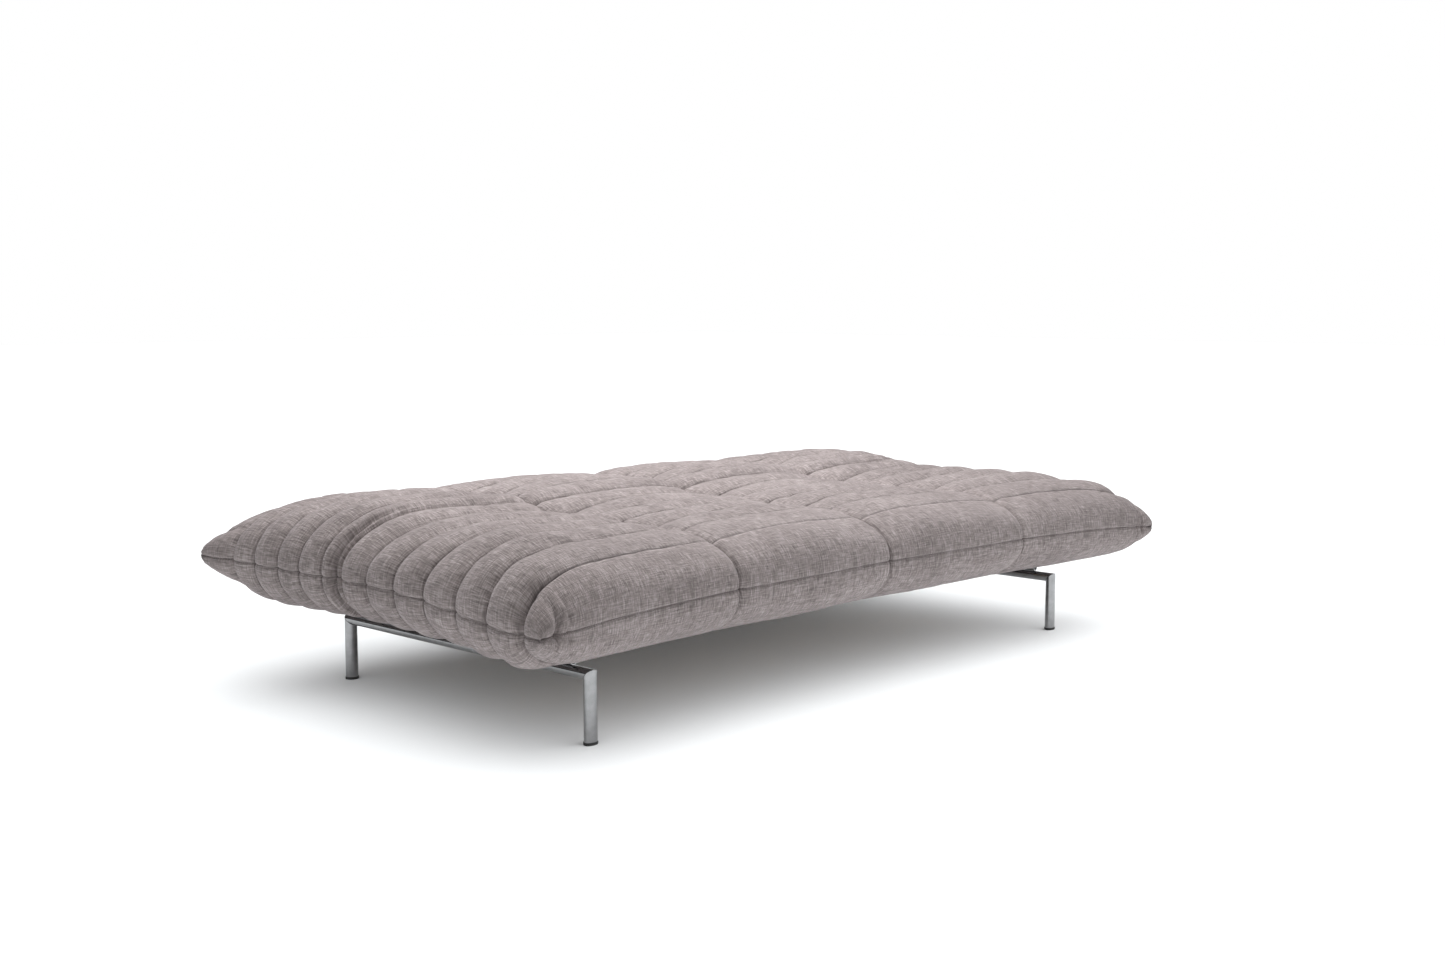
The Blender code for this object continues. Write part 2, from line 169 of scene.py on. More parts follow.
class Axis:
    """Places along one direction of the mattress: plan position and arc length over the padded edges."""

    def __init__(self, half, rounding, power, rise, seams, seam_steps, cell, folds=()):
        dense = -half * np.cos(np.linspace(0, math.pi, DENSE_POINTS))
        height = rise * superellipse((half - np.abs(dense)) / rounding, power)
        arc = np.concatenate([[0], np.cumsum(np.hypot(np.diff(dense), np.diff(height)))])
        self.length = arc[-1]
        self.seam_arcs = np.interp(np.array(seams) * half, dense, arc)
        self.fold_arcs = np.interp(np.array(folds), dense, arc)
        self.arc, self.coarse = self.stations(seam_steps, cell)
        self.place = np.interp(self.arc, arc, dense)
        self.place[0], self.place[-1] = -half, half
        self.t = self.place / half

    def stations(self, seam_steps, cell):
        """Close together at the seams, the edges and the gathered folds, and a cell apart elsewhere.

        Also the numbers of the coarse stations, which leave out the ones close together.
        """
        edge = np.array(EDGE_STEPS)
        groups = [(seam, seam + np.array(seam_steps)) for seam in self.seam_arcs]
        groups += [(fold, fold + np.array(FOLD_STEPS)) for fold in self.fold_arcs]
        groups += [(0.0, edge), (self.length, self.length - edge[::-1])]
        groups.sort(key=lambda group: group[0])
        found, coarse = [], []
        for centre, group in groups:
            if found:
                cells = max(1, round((group[0] - found[-1]) / cell))
                between = np.linspace(found[-1], group[0], cells + 1)[1:-1]
                coarse += list(range(len(found), len(found) + len(between)))
                found += list(between)
            kept = {0, len(group) - 1, int(np.abs(group - centre).argmin())}
            coarse += sorted(len(found) + number for number in kept)
            found += list(group)
        return np.array(found), np.array(coarse)

    def between_seams(self, arc):
        """0 to 1 from one seam or edge to the next, the number of the strip, and its width."""
        edges = np.concatenate([[0], self.seam_arcs, [self.length]])
        index = np.clip(np.searchsorted(edges, arc, side="right") - 1, 0, len(edges) - 2)
        width = edges[index + 1] - edges[index]
        return (arc - edges[index]) / width, index, width


# Where mesh lines lie: in metres from an edge, a channel seam, a cross seam and a gathered fold.
EDGE_STEPS = (0.0, 0.0015, 0.0035, 0.007, 0.013)
CHANNEL_STEPS = (-0.0120, -0.0080, -0.0062, -0.0045, -0.0020, 0.0, 0.0018, 0.0045, 0.010)
CROSS_STEPS = (-0.012, -0.006, -0.0025, 0.0, 0.0025, 0.006, 0.012)
FOLD_STEPS = (-0.010, -0.006, -0.003, 0.0, 0.003, 0.006, 0.010)
CELL_ACROSS, CELL_ALONG = 0.0118, 0.0130     # the mesh elsewhere
DENSE_POINTS = 20001                         # for measuring arc lengths

RISE = SEAT_TOP_Z - SEAM_Z
side_folds = [side * (HALF_X - fold[0]) for fold in EAR_FOLDS for side in (-1, 1)]
across = Axis(HALF_X, END_ROUNDING, END_POWER, RISE, CROSS_SEAMS, CROSS_STEPS, CELL_ACROSS, side_folds)
along = Axis(
    HALF_Y, FRONT_ROUNDING, SIDE_POWER, RISE, CHANNEL_SEAMS, CHANNEL_STEPS, CELL_ALONG, [SECOND_FOLD_Y]
)


def lattice_noise(x, y, cell, seed):
    """Smooth value noise between -1 and 1, with a new value every cell metres."""
    table = np.random.default_rng(seed).uniform(-1, 1, NOISE_TABLE)
    gx, gy = x / cell + 1000.0, y / cell + 1000.0
    ix, iy = np.floor(gx).astype(int), np.floor(gy).astype(int)
    fx, fy = smooth(gx - ix), smooth(gy - iy)

    def at(i, j):
        return table[i % NOISE_TABLE[0], j % NOISE_TABLE[1]]

    low = at(ix, iy) * (1 - fx) + at(ix + 1, iy) * fx
    high = at(ix, iy + 1) * (1 - fx) + at(ix + 1, iy + 1) * fx
    return low * (1 - fy) + high * fy


# The panel's points: U and V are shares of the half size in plan, ARC_U and ARC_V metres along the cloth.
U, V = np.meshgrid(across.t, along.t, indexing="ij")
V_AT_END = np.interp(V, (-1, *CHANNEL_SEAMS, 1), (-1, *SEAMS_AT_ENDS, 1))
V += (V_AT_END - V) * np.abs(U) ** 3
SECOND_FOLD_ARC = along.fold_arcs[0]
ARC_U, ARC_V = np.meshgrid(across.arc, along.arc, indexing="ij")
FROM_END = np.minimum(ARC_U, across.length - ARC_U)       # along the cloth, from the nearer end seam
FROM_SIDE = np.minimum(ARC_V, along.length - ARC_V)
FROM_SEAM = np.minimum(FROM_END, FROM_SIDE)


def plan():
    """Outline drawn in between the corners, and the corners rounded off."""
    in_x, in_y = np.abs(V) ** OUTLINE_POWER, np.abs(U) ** OUTLINE_POWER
    x = U * (HALF_X - END_DRAWN_IN * (1 - in_x))
    y = V * (HALF_Y - np.where(V < 0, FRONT_DRAWN_IN, BACK_DRAWN_IN) * (1 - in_y))
    corner = (1 - np.abs(U)) * HALF_X + (1 - np.abs(V)) * HALF_Y
    cut = EAR_CUT * np.clip(1 - corner / EAR_REACH, 0, 1) ** 2 * math.sqrt(0.5)
    return x - np.sign(U) * cut, y - np.sign(V) * cut


def seam_height():
    """Height of the side seam, carried on over the whole panel."""
    corner = np.abs(U) ** EAR_POWER
    return SEAM_Z + SEAM_LIFT + corner * (BACK_EAR_LIFT * smooth(V) - FRONT_EAR_DROP * smooth(-V))


def crown_height():
    """Height of the top panel away from its edges, without the puffs."""
    rise = rising(V * HALF_Y, 0.0, BACK_RISES_OVER)
    fall = BACK_FALL * rising(V, 0.50, 0.35)
    return SEAT_TOP_Z + (BACK_TOP_Z - SEAT_TOP_Z) * rise - CROWN_SUNK - fall


def edge_factor(end_rounding, front_rounding, back_rounding, side_power):
    """0 at the side seam, and 1 where the panel has its full height."""
    fuller = end_rounding * (1 + END_FULLER * np.where(V < 0, V, 0.5 * V))
    end = superellipse((1 - np.abs(U)) * HALF_X / fuller, END_POWER + END_SQUARER * smooth(-V))
    front = superellipse((1 + V) * HALF_Y / front_rounding, side_power)
    back = superellipse((1 - V) * HALF_Y / back_rounding, side_power)
    return end * front * back


def grid_normals(points, upward):
    """Unit directions out of the panel."""
    du = np.gradient(points, axis=0)
    dv = np.gradient(points, axis=1)
    normal = np.cross(du, dv)
    if not upward:
        normal = -normal
    length = np.linalg.norm(normal, axis=2, keepdims=True)
    return normal / np.maximum(length, 1e-9)


def side_normals():
    """Level direction out of the mattress at the side seam, faded in from the panel's edge."""
    level = np.zeros_like(U)
    slope_end = np.stack([np.sign(U), -END_SLOPE * V, level], 2)
    slope_side = np.stack([-SIDE_SLOPE * U, np.sign(V), level], 2)
    end, side = gauss(FROM_END, 0.02), gauss(FROM_SIDE, 0.02)
    mixed = slope_end * end[..., None] + slope_side * side[..., None]
    return mixed / np.maximum(np.linalg.norm(mixed, axis=2, keepdims=True), 1e-9)


def puff(share, power=2.5):
    """A bulge: 0 at both ends of the strip and 1 in its middle."""
    return 1 - np.abs(2 * share - 1) ** power


def standing():
    """How much the channels stand up: less over the back and along the front edge, away from the ends."""
    away = rising(FROM_END, 0.10, 0.12)
    flatter = 1 - away * (0.25 * rising(V, 0.25, 0.2) + 0.65 * falling(V, -0.55, 0.2))
    return flatter * (1 - 0.20 * rising(FROM_END, 0.20, 0.25))


def channel_puff(top):
    """The channels' bulge: strongest at the ends, weaker over the middle of the bed."""
    share, strip, width = along.between_seams(ARC_V)
    middle = falling(np.abs(U), 0.57, 0.18)
    front = falling(V, 0.05, 0.35)
    inner = FRONT_CHANNEL_PUFF * front + BACK_CHANNEL_PUFF * (1 - front)
    amount = END_CHANNEL_PUFF * (1 - middle) + inner * middle
    amount = amount * np.clip(width / CHANNEL_WIDTH, 0.5, 1.15)
    edge_strip = (strip == 0) | (strip == len(CHANNEL_SEAMS))
    amount = np.where(edge_strip, EDGE_CHANNEL * amount, amount)
    if not top:
        amount = amount * BOTTOM_CHANNELS
    at_seam = 0.75 + 0.25 * rising(FROM_END, 0.0, 0.05)
    return amount * puff(share) * at_seam * rising(FROM_SIDE, 0.0, 0.03) * standing()


def column_puff(top):
    """The wider bulge between the cross seams."""
    share, column, _ = across.between_seams(ARC_U)
    amount = COLUMN_PUFF if top else BOTTOM_COLUMNS * COLUMN_PUFF
    inside = np.where((column == 0) | (column == len(CROSS_SEAMS)), 0.5, 1.0)
    return amount * inside * puff(share, 2.2) * (0.5 + 0.5 * rising(FROM_SIDE, 0.0, 0.08))


def line_groove(arc, seams, depth, width):
    """A groove of that depth and width along each of the seams."""
    total = np.zeros_like(arc)
    for seam in seams:
        total = np.maximum(total, gauss(arc - seam, width))
    return depth * total


def grooves(top):
    """How deep the sewn lines, the hollows along them and the two folds go into the cloth."""
    ditch = line_groove(ARC_V, along.seam_arcs, *DITCH)
    stitch = line_groove(ARC_V, along.seam_arcs + STITCH_BESIDE, *STITCH)
    cross = line_groove(ARC_U, across.seam_arcs, *CROSS)
    on_top = rising(V, -0.95, 0.2)
    valley = line_groove(ARC_U, across.seam_arcs, *VALLEY) * on_top
    valley += line_groove(ARC_U, across.seam_arcs, *FRONT_VALLEY) * (1 - on_top)
    valley *= 1 - 0.8 * rising(V, 0.5, 0.2) * rising(np.abs(U), 0.2, 0.1)
    notch = gauss(U * HALF_X, NOTCH_WIDTH) * rising(V, 0.35, 0.2) * falling(V, 0.97, 0.1)
    valley += notch * (NOTCH_TOP if top else NOTCH_BOTTOM)
    fold_arc = along.seam_arcs[CHANNEL_SEAMS.index(FOLD_SEAM)]
    end = falling(FROM_END, 0.45, 0.45)
    fold = gauss(ARC_V - fold_arc, FOLD_WIDTH) * (FOLD_DEPTH + FOLD_DEEPER * end)
    second = line_groove(ARC_V, [SECOND_FOLD_ARC], *SECOND_FOLD) * gauss(FROM_END, SECOND_FOLD_REACH)
    seam = line_groove(FROM_SEAM, [0.0], *SIDE_SEAM)
    scale = 1.0 if top else BOTTOM_GROOVES
    return scale * ((ditch + stitch) * standing() + cross + valley + fold + second) + seam


def paint_seam_shade_and_highlight():
    """For the cloth's colour, painted shade and highlight: 1 in the bottom of a seam's ditch (painted shade),
    under 0 on the topstitching beside it (painted highlight).
    """
    fainter = 1 - 0.45 * rising(FROM_END, 0.35, 0.25)
    channel = line_groove(ARC_V, along.seam_arcs, 1.0, CHANNEL_LINE) * fainter
    cross = line_groove(ARC_U, across.seam_arcs, 1.0, CROSS_LINE)
    side = SIDE_LINE_SHADE * gauss(FROM_SEAM, SIDE_LINE)
    stitch = line_groove(ARC_V, along.seam_arcs + STITCH_BESIDE, STITCH_HIGHLIGHT, STITCH_LINE) * fainter
    return np.maximum.reduce([channel, cross, side]) - stitch


def tufts():
    """How deep the tufts go into the top panel."""
    total = np.zeros_like(U)
    x, y = U * HALF_X, V * HALF_Y
    for cross_seam in CROSS_SEAMS:
        for channel_seam, depth in TUFT_SEAMS:
            far = np.hypot((x - cross_seam * HALF_X) * TUFT_SQUEEZE, y - channel_seam * HALF_Y)
            total += depth * (0.75 * gauss(far, TUFT_WIDE) + 0.25 * gauss(far, TUFT_NARROW))
    return total


def ear_creases():
    """The gathered folds beside each corner, and the dimple at its tip."""
    plan_end, plan_side = (1 - np.abs(U)) * HALF_X, (1 - np.abs(V)) * HALF_Y
    total = np.zeros_like(U)
    for place, depth, width, reach in EAR_FOLDS:
        total += depth * gauss(plan_end - place, width) * gauss(FROM_SIDE, reach)
    first_seam = (1 - abs(SEAMS_AT_ENDS[0])) * HALF_Y
    end_folds = ((first_seam, *FRONT_END_FOLD, V < 0), (*BACK_END_FOLD, V > 0))
    for place, depth, width, reach, where in end_folds:
        total += depth * gauss(plan_side - place, width) * gauss(FROM_END, reach) * where
    tip = np.hypot(plan_end, plan_side)
    total += TIP_DIMPLE * gauss(tip, TIP_WIDTH) * gauss(FROM_SEAM, TIP_HEIGHT)
    return total


def wrinkles():
    """Small unevenness of stuffed cloth, with short puckers across the seams."""
    wide, fine = [
        height * lattice_noise(ARC_U, ARC_V, cell, WRINKLE_SEED + number)
        for number, (height, cell) in enumerate(SOFT_WRINKLES)
    ]
    # Each strip between two seams has its own puckers, so its number moves it over the noise.
    share, strip, width = along.between_seams(ARC_V)
    near = gauss(np.minimum(share, 1 - share) * width, 0.022)
    height, cell = CHANNEL_PUCKER
    pucker = height * near * lattice_noise(ARC_U + strip * 3.7, strip * 5.0, cell, WRINKLE_SEED + 2)
    share, column, width = across.between_seams(ARC_U)
    near = gauss(np.minimum(share, 1 - share) * width, 0.035)
    height, cell = CROSS_PUCKER
    pucker += height * near * lattice_noise(column * 5.0, ARC_V + column * 2.3, cell, WRINKLE_SEED + 3)
    return wide + fine + pucker


def make_panel(top):
    """Points of the top or bottom panel, before simulation."""
    x, y = plan()
    seam = seam_height()
    if top:
        full = edge_factor(END_ROUNDING, FRONT_ROUNDING, BACK_ROUNDING, SIDE_POWER)
        z = seam + (crown_height() - seam) * full
    else:
        full = edge_factor(BELLY_END, BELLY_FRONT, BELLY_BACK, BELLY_POWER)
        z = seam + (BELLY_Z - seam) * full
    points = np.stack([x, y, z], 2)
    normal = grid_normals(points, top)
    fade = np.clip(gauss(FROM_SEAM, 0.012), 0, 1)[..., None]
    normal = normal * (1 - fade) + side_normals() * fade
    normal /= np.linalg.norm(normal, axis=2, keepdims=True)
    out = channel_puff(top) + column_puff(top) - grooves(top) + wrinkles()
    if top:
        out = out - tufts()
    else:
        # The belly lies flat on the slats: no puffs there, and only traces of the grooves.
        flat = rising(full, 0.7, 0.25)
        out = np.where(flat > 0, out * (1 - flat) + np.minimum(out, 0) * flat * 0.4, out)
    out = out - ear_creases()
    calmer_tips = 0.35 + 0.65 * rising(np.hypot(FROM_END, FROM_SIDE), 0.0, 0.05)
    return points + normal * (out * calmer_tips)[..., None]


def sew(top, bottom):
    """Joins the panels along the side seam: all their points, each panel's point numbers, and the faces."""
    nu, nv = top.shape[:2]
    edge = np.zeros((nu, nv), bool)
    edge[0, :] = edge[-1, :] = edge[:, 0] = edge[:, -1] = True
    top = np.where(edge[..., None], (top + bottom) / 2, top)
    top_numbers = np.arange(nu * nv).reshape(nu, nv)
    bottom_numbers = top_numbers.copy()
    bottom_numbers[~edge] = nu * nv + np.arange((~edge).sum())
    points = np.concatenate([top.reshape(-1, 3), bottom[~edge]])

    def quads(numbers, upward):
        a, b, c, d = numbers[:-1, :-1], numbers[1:, :-1], numbers[1:, 1:], numbers[:-1, 1:]
        order = (a, b, c, d) if upward else (a, d, c, b)
        return np.stack([part.ravel() for part in order], 1)

    faces = np.concatenate([quads(top_numbers, True), quads(bottom_numbers, False)])
    return points, (top_numbers, bottom_numbers), faces


def mesh_object(name, points, faces):
    mesh = bpy.data.meshes.new(name)
    mesh.from_pydata(points.tolist(), [], faces.tolist())
    mesh.update()
    made = bpy.data.objects.new(name, mesh)
    bpy.context.scene.collection.objects.link(made)
    return made


def simulated_moves(panels):
    """How far cloth simulation moves each point: the seams hold, and the cloth between them fills out."""
    pick = np.ix_(across.coarse, along.coarse)
    start = [panel[pick] for panel in panels]
    points, numbers, faces = sew(*start)
    pillow = mesh_object("pillow", points, faces)
    arc_u, arc_v = ARC_U[pick], ARC_V[pick]
    held = np.isclose(FROM_SEAM[pick], 0)
    for seam in along.seam_arcs:
        held |= np.isclose(arc_v, seam)
    for seam in across.seam_arcs:
        held |= np.isclose(arc_u, seam)
    for place, *_ in EAR_FOLDS:
        at_fold = np.isclose(np.abs(U[pick]) * HALF_X, HALF_X - place, atol=0.002)
        held |= at_fold & (FROM_SIDE[pick] < EAR_FOLD_HELD)
    held |= (np.abs(arc_v - SECOND_FOLD_ARC) < SECOND_FOLD[1]) & (FROM_END[pick] < SECOND_FOLD_HELD)
    resting = start[1][..., 2] < BELLY_Z + RESTING
    pins = pillow.vertex_groups.new(name="pins")
    pins.add(np.concatenate([numbers[0][held], numbers[1][held | resting]]).tolist(), 1.0, "REPLACE")
    cloth = pillow.modifiers.new("cloth", "CLOTH")
    settings = cloth.settings
    settings.quality = CLOTH_QUALITY
    settings.vertex_group_mass = "pins"
    settings.effector_weights.gravity = 0
    settings.use_pressure = True
    settings.uniform_pressure_force = CLOTH_PRESSURE
    settings.shrink_min = -CLOTH_EXCESS
    settings.bending_stiffness = CLOTH_BENDING
    settings.tension_stiffness = settings.compression_stiffness = CLOTH_STIFFNESS
    cloth.point_cache.frame_start, cloth.point_cache.frame_end = 1, CLOTH_FRAMES
    scene = bpy.context.scene
    for frame_number in range(1, CLOTH_FRAMES + 1):
        scene.frame_set(frame_number)
    evaluated = pillow.evaluated_get(bpy.context.evaluated_depsgraph_get())
    moved = np.empty(len(points) * 3, np.float32)
    evaluated.data.vertices.foreach_get("co", moved)
    moves = moved.reshape(-1, 3) - points
    scene.frame_set(1)
    bpy.data.objects.remove(pillow)
    size = np.linalg.norm(moves, axis=1, keepdims=True)
    moves *= np.minimum(1, CLOTH_REACH / np.maximum(size, 1e-9))
    return [spread(moves[panel]) * standing()[..., None] for panel in numbers]


def spread(moves):
    """From the coarse stations to all of them."""
    for axis, lines in enumerate((across, along)):
        coarse = lines.arc[lines.coarse]
        share = np.interp(lines.arc, coarse, np.arange(len(coarse)))
        low = np.minimum(share.astype(int), len(coarse) - 2)
        part = (share - low)[:, None, None] if axis == 0 else (share - low)[None, :, None]
        moves = np.take(moves, low, axis) * (1 - part) + np.take(moves, low + 1, axis) * part
    return moves


def make_mattress():
    """The mattress, with two attributes for its fabric: the place on the cloth, and the seams' painted shade
    and painted highlight.
    """
    panels = [make_panel(top=True), make_panel(top=False)]
    panels = [panel + moves for panel, moves in zip(panels, simulated_moves(panels))]
    points, numbers, faces = sew(*panels)
    mattress = mesh_object("mattress", points, faces)
    mesh = mattress.data
    mesh.shade_smooth()
    place = np.zeros((len(points), 3), np.float32)
    place[numbers[1]] = np.stack([ARC_U, ARC_V, -FROM_SEAM], 2)
    place[numbers[0]] = np.stack([ARC_U, ARC_V, np.zeros_like(U)], 2)
    mesh.attributes.new("cloth", "FLOAT_VECTOR", "POINT").data.foreach_set("vector", place.ravel())
    # The seams' painted shade and painted highlight, for the fabric's colour.
    lines = np.zeros(len(points), np.float32)
    for panel in numbers:
        lines[panel] = paint_seam_shade_and_highlight()
    mesh.attributes.new("seam_shade_and_highlight", "FLOAT", "POINT").data.foreach_set("value", lines)
    return mattress


# --- Materials ---------------------------------------------------------------------------------

class Nodes:
    """A material's node tree, built one named call at a time."""

    def __init__(self, name, **sockets):
        """Sockets of the shader are given by name in lower case, such as roughness=0.5."""
        self.material = bpy.data.materials.new(name)
        self.material.use_nodes = True
        self.tree = self.material.node_tree
        self.shader = self.tree.nodes["Principled BSDF"]
        for socket, value in sockets.items():
            self.shader.inputs[socket.replace("_", " ").title()].default_value = value

    def set(self, socket, value):
        self.shader.inputs[socket].default_value = value

    def node(self, kind, **settings):
        made = self.tree.nodes.new(kind)
        for name, value in settings.items():
            setattr(made, name, value)
        return made

    def link(self, source, target):
        self.tree.links.new(source, target)

    def feed(self, source, socket):
        self.link(source, self.shader.inputs[socket])

    def coordinates(self, attribute=None):
        """Places in the object's own space, or from one of its mesh's attributes."""
        if attribute:
            return self.node("ShaderNodeAttribute", attribute_name=attribute).outputs["Vector"]
        return self.node("ShaderNodeTexCoord").outputs["Object"]

    def scaled(self, vector, scale):
        mapping = self.node("ShaderNodeMapping")
        mapping.inputs["Scale"].default_value = scale
        self.link(vector, mapping.inputs["Vector"])
        return mapping.outputs["Vector"]

    def noise(self, vector, detail=2.0, roughness=0.5, distortion=0.0):
        made = self.node("ShaderNodeTexNoise")
        self.link(vector, made.inputs["Vector"])
        values = {"Scale": 1.0, "Detail": detail, "Roughness": roughness, "Distortion": distortion}
        for name, value in values.items():
            made.inputs[name].default_value = value
        return made.outputs["Fac"]

    def math(self, operation, a, b=None, c=None):
        made = self.node("ShaderNodeMath", operation=operation)
        for socket, value in zip(made.inputs, (a, b, c)):
            if value is None:
                continue
            if isinstance(value, (int, float)):
                socket.default_value = value
            else:
                self.link(value, socket)
        return made.outputs[0]

    def ramp(self, factor, *stops):
        made = self.node("ShaderNodeValToRGB")
        elements = made.color_ramp.elements
        while len(elements) < len(stops):
            elements.new(0.5)
        for element, (position, colour) in zip(elements, stops):
            element.position = position
            element.color = (*colour, 1)
        self.link(factor, made.inputs["Fac"])
        return made.outputs["Color"]

    def bump(self, height, distance, strength=1.0):
        made = self.node("ShaderNodeBump")
        made.inputs["Distance"].default_value = distance
        made.inputs["Strength"].default_value = strength
        self.link(height, made.inputs["Height"])
        self.feed(made.outputs["Normal"], "Normal")


def fabric_material():
    """Woven chenille: uneven warp and weft threads, a brushed nap, cloudy wear, and painted shade in the
    seams with a painted highlight on the topstitching.
    """
    n = Nodes("fabric_chenille", roughness=0.95)
    n.set("Specular IOR Level", 0.15)
    n.set("Sheen Weight", 0.16)
    n.set("Sheen Roughness", 0.45)
    n.set("Sheen Tint", (0.95, 0.87, 0.92, 1))
    # Across, along and through the cloth in metres, so the numbers below are about threads a metre.
    cloth = n.coordinates("cloth")
    threads = n.noise(n.scaled(cloth, (290, 22, 22)), detail=1.4, roughness=0.7)
    threads_fine = n.noise(n.scaled(cloth, (520, 60, 60)), detail=1.0)
    picks = n.noise(n.scaled(cloth, (26, 360, 26)), detail=1.4, roughness=0.7)
    nap = n.noise(n.scaled(cloth, (24, 20, 24)), detail=3.0, roughness=0.62, distortion=0.6)
    cloud = n.noise(n.scaled(cloth, (5, 4, 5)), detail=2.0)
    tone = 0.0
    for layer, share in ((threads, 0.52), (threads_fine, 0.44), (picks, 0.52), (nap, 0.18), (cloud, 0.20)):
        tone = n.math("MULTIPLY_ADD", layer, share, tone)
    tone = n.math("MULTIPLY_ADD", tone, 1.40, -0.80)     # contrast, and back to a middle of about a half
    shadow, middle, light = (0.098, 0.084, 0.081), (0.242, 0.209, 0.204), (0.46, 0.41, 0.405)
    colour = n.ramp(tone, (0.12, shadow), (0.5, middle), (0.88, light))
    # The seam lines scale the colour: painted shade where the seam value is over 0, a painted highlight where
    # it is under.
    seam_shade_and_highlight = n.node("ShaderNodeAttribute", attribute_name="seam_shade_and_highlight").outputs["Fac"]
    painted_seam_factor = n.math("MULTIPLY_ADD", seam_shade_and_highlight, -0.62, 1.0)
    shaded = n.node("ShaderNodeVectorMath", operation="SCALE")
    n.link(colour, shaded.inputs[0])
    n.link(painted_seam_factor, shaded.inputs["Scale"])
    n.feed(shaded.outputs[0], "Base Color")
    height = n.math("ADD", n.math("MULTIPLY_ADD", threads, 0.7, threads_fine), picks)
    n.bump(height, 0.0022, 0.8)
    return n.material


def chrome_material():
    """Satin chrome, a little clouded by wear."""
    n = Nodes("chrome_satin", metallic=1.0, roughness=0.16)
    place = n.coordinates()
    wear = n.noise(n.scaled(place, (60, 60, 60)), detail=3)
    n.feed(n.ramp(wear, (0.3, (0.262, 0.262, 0.266)), (0.7, (0.325, 0.325, 0.33))), "Base Color")
    n.feed(n.math("MULTIPLY_ADD", wear, 0.10, 0.09), "Roughness")
    return n.material


def steel_material():
    """Brushed steel."""
    n = Nodes("steel_brushed", metallic=1.0, roughness=0.3)
    place = n.coordinates()
    grain = n.noise(n.scaled(place, (900, 900, 40)), detail=2)
    n.feed(n.ramp(grain, (0.3, (0.42, 0.42, 0.43)), (0.7, (0.55, 0.55, 0.56))), "Base Color")
    n.feed(n.math("MULTIPLY_ADD", grain, 0.15, 0.22), "Roughness")
    return n.material


def black_steel_material():
    """Powder-coated steel with a fine grain."""
    n = Nodes("steel_black", metallic=0.3, roughness=0.45)
    place = n.coordinates()
    grain = n.noise(n.scaled(place, (700, 700, 700)), detail=2)
    n.feed(n.ramp(grain, (0.3, (0.012, 0.012, 0.013)), (0.7, (0.026, 0.026, 0.028))), "Base Color")
    n.feed(n.math("MULTIPLY_ADD", grain, 0.2, 0.36), "Roughness")
    n.bump(grain, 0.0002, 0.5)
    return n.material


def black_plastic_material():
    """Moulded plastic."""
    n = Nodes("plastic_black", roughness=0.5)
    place = n.coordinates()
    grain = n.noise(n.scaled(place, (900, 900, 900)), detail=1)
    n.feed(n.ramp(grain, (0.3, (0.010, 0.010, 0.010)), (0.7, (0.018, 0.018, 0.019))), "Base Color")
    n.bump(grain, 0.0001, 0.5)
    return n.material


def wood_material():
    """Beech, with its grain along the slats."""
    n = Nodes("wood_beech", roughness=0.55)
    place = n.coordinates()
    rings = n.noise(n.scaled(place, (120, 5, 120)), detail=4, distortion=1.2)
    pores = n.noise(n.scaled(place, (900, 30, 900)), detail=2)
    tone = n.math("MULTIPLY_ADD", pores, 0.25, n.math("MULTIPLY", rings, 0.8))
    n.feed(n.ramp(tone, (0.3, (0.44, 0.27, 0.14)), (0.75, (0.66, 0.46, 0.28))), "Base Color")
    n.bump(tone, 0.0003, 0.4)
    return n.material


def floor_material():
    """A pale studio floor, barely uneven."""
    n = Nodes("floor_pale", roughness=0.9)
    n.set("Specular IOR Level", 0.1)
    place = n.coordinates()
    tone = n.noise(n.scaled(place, (1.5, 1.5, 1.5)), detail=2)
    n.feed(n.ramp(tone, (0.3, (0.79, 0.81, 0.82)), (0.7, (0.81, 0.83, 0.84))), "Base Color")
    return n.material


FINISHES = {
    "chrome": chrome_material(),
    "steel": steel_material(),
    "black_steel": black_steel_material(),
    "black_plastic": black_plastic_material(),
    "wood": wood_material(),
}
# A node's material is named after its slot in the record.
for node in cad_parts.values():
    for material_slot in node.material_slots:
        finish = material_slot.material.name.split(".")[0]
        if finish in FINISHES:
            material_slot.material = FINISHES[finish]

# --- Pieces ------------------------------------------------------------------------------------

mattress = make_mattress()
mattress.data.materials.append(fabric_material())
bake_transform(mattress)
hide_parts("seat_cover_top", "seat_cover_bottom", "seat_foam")
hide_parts("back_cover_top", "back_cover_bottom", "back_foam")

# --- Stage, light and camera -------------------------------------------------------------------


def staged(name, points, material):
    """A flat sheet that belongs to the studio."""
    sheet = mesh_object(name, np.array(points, float), np.array([(0, 1, 2, 3)]))
    sheet.data.materials.append(material)
    return sheet


FAR = 30
floor = staged("floor", [(-FAR, -FAR, 0), (FAR, -FAR, 0), (FAR, FAR, 0), (-FAR, FAR, 0)], floor_material())
# A black flag beside the set, which only the chrome sees.
FLAG_CORNERS = [(-4.2, 0.2, 0), (-1.6, 3.2, 0), (-1.6, 3.2, 1.3), (-4.2, 0.2, 1.3)]
flag = staged("flag", FLAG_CORNERS, FINISHES["black_plastic"])
flag.visible_camera = flag.visible_diffuse = flag.visible_shadow = False

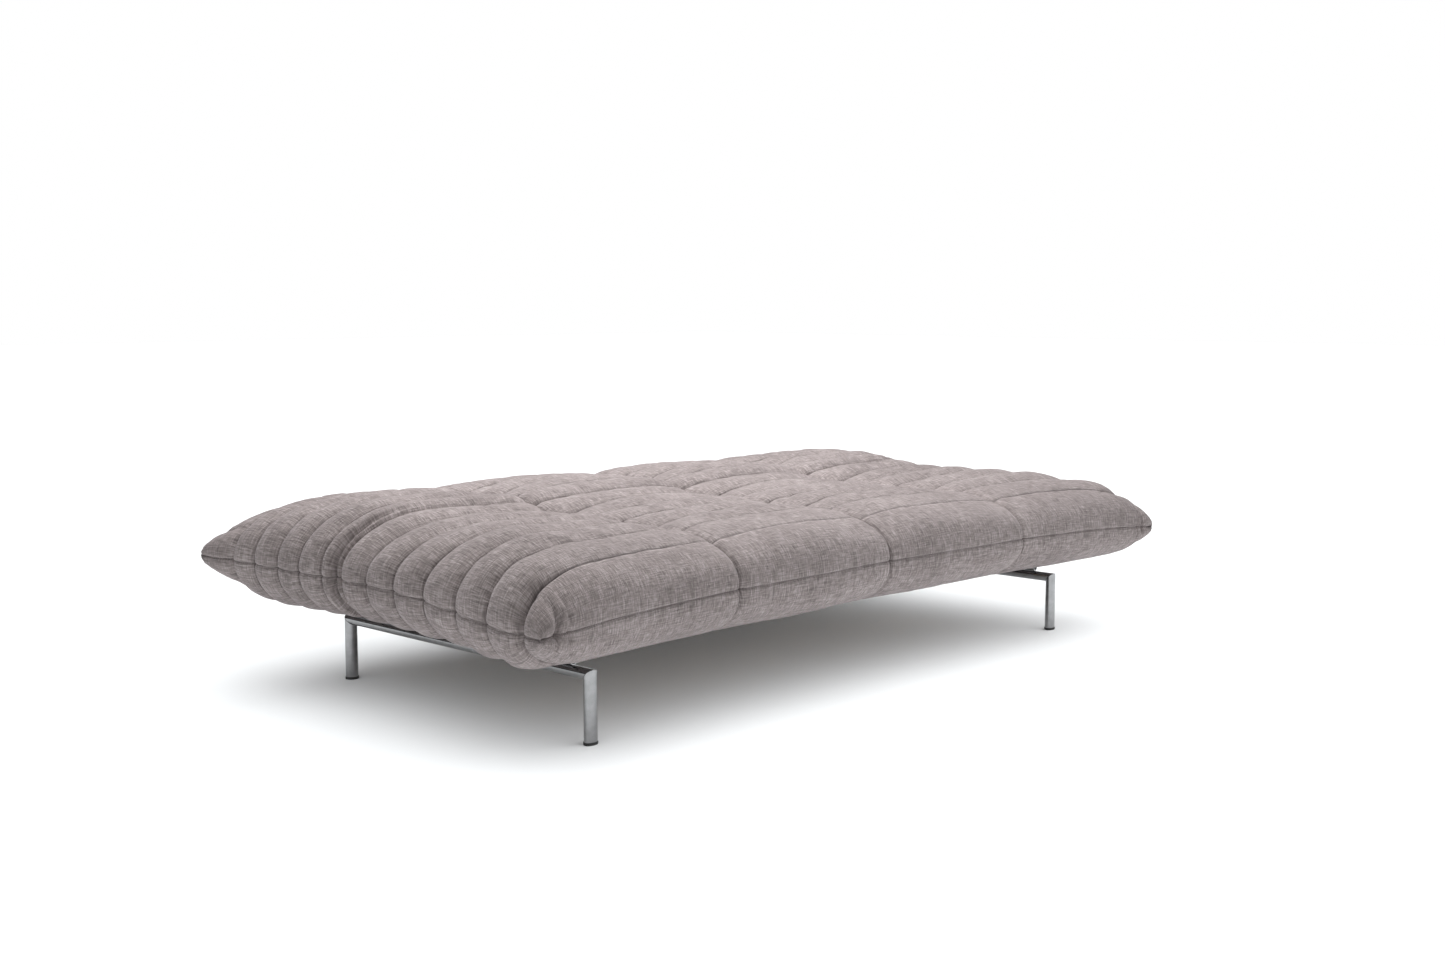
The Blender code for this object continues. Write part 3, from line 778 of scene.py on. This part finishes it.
# The room's glow by the height of a direction: bright up to a little over the horizon, and dim above.
GLOW = ((0.18, 1.0), (0.27, 0.10))
world = bpy.data.worlds.new("studio")
bpy.context.scene.world = world
world.use_nodes = True
tree = world.node_tree
direction = tree.nodes.new("ShaderNodeTexCoord")
split = tree.nodes.new("ShaderNodeSeparateXYZ")
tree.links.new(direction.outputs["Generated"], split.inputs["Vector"])
height = tree.nodes.new("ShaderNodeMath")
height.operation = "MULTIPLY_ADD"
height.inputs[1].default_value = height.inputs[2].default_value = 0.5
tree.links.new(split.outputs["Z"], height.inputs[0])
ring = tree.nodes.new("ShaderNodeValToRGB")
tree.links.new(height.outputs[0], ring.inputs["Fac"])
ring.color_ramp.interpolation = "EASE"
for stop, (z, glow) in zip(ring.color_ramp.elements, GLOW):
    stop.position = 0.5 + z / 2
    stop.color = (glow, glow, glow, 1)
tree.links.new(ring.outputs["Color"], tree.nodes["Background"].inputs["Color"])


def add_lamp(name, kind, place, away, only_floor, **settings):
    """A soft light that shines against the direction away, on the floor only or on all but the floor."""
    data = bpy.data.lights.new(name, kind)
    for setting, value in settings.items():
        setattr(data, setting, value)
    lamp = bpy.data.objects.new(name, data)
    lamp.location = place
    lamp.rotation_euler = Vector(away).to_track_quat("Z", "Y").to_euler()
    bpy.context.scene.collection.objects.link(lamp)
    lit = bpy.data.collections.new(f"{name}_lit")
    lit.objects.link(floor)
    lit.collection_objects[0].light_linking.link_state = "INCLUDE" if only_floor else "EXCLUDE"
    lamp.light_linking.receiver_collection = lit


add_lamp("floor_light", "SUN", (0, 0, 3), (0.25, -0.85, 1), True, energy=6.2, angle=math.radians(164))
add_lamp("softbox", "AREA", (0.08, 0.38, 2.55), (0.04, 0.15, 1), False, energy=134, shape="SQUARE", size=2.4)
add_lamp(
    "side_fill", "AREA", (1.40, -2.30, 1.20), (0.35, -0.90, 0.45), False, energy=9.5, shape="SQUARE", size=1.4
)

CAMERA_PLACE = (-3.030, -2.971, 0.896)
CAMERA_YAW, CAMERA_PITCH = math.radians(44.18), math.radians(6.19)
CAMERA_LENS, CAMERA_SENSOR = 41.72, 36.0     # in millimetres
camera_data = bpy.data.cameras.new("camera")
camera_data.lens = CAMERA_LENS
camera_data.sensor_width = CAMERA_SENSOR
camera = bpy.data.objects.new("camera", camera_data)
camera.location = CAMERA_PLACE
look = Vector((math.cos(CAMERA_YAW), math.sin(CAMERA_YAW), -math.tan(CAMERA_PITCH)))
camera.rotation_euler = look.to_track_quat("-Z", "Y").to_euler()
bpy.context.scene.collection.objects.link(camera)
bpy.context.scene.camera = camera
bpy.context.scene.view_settings.view_transform = "Standard"
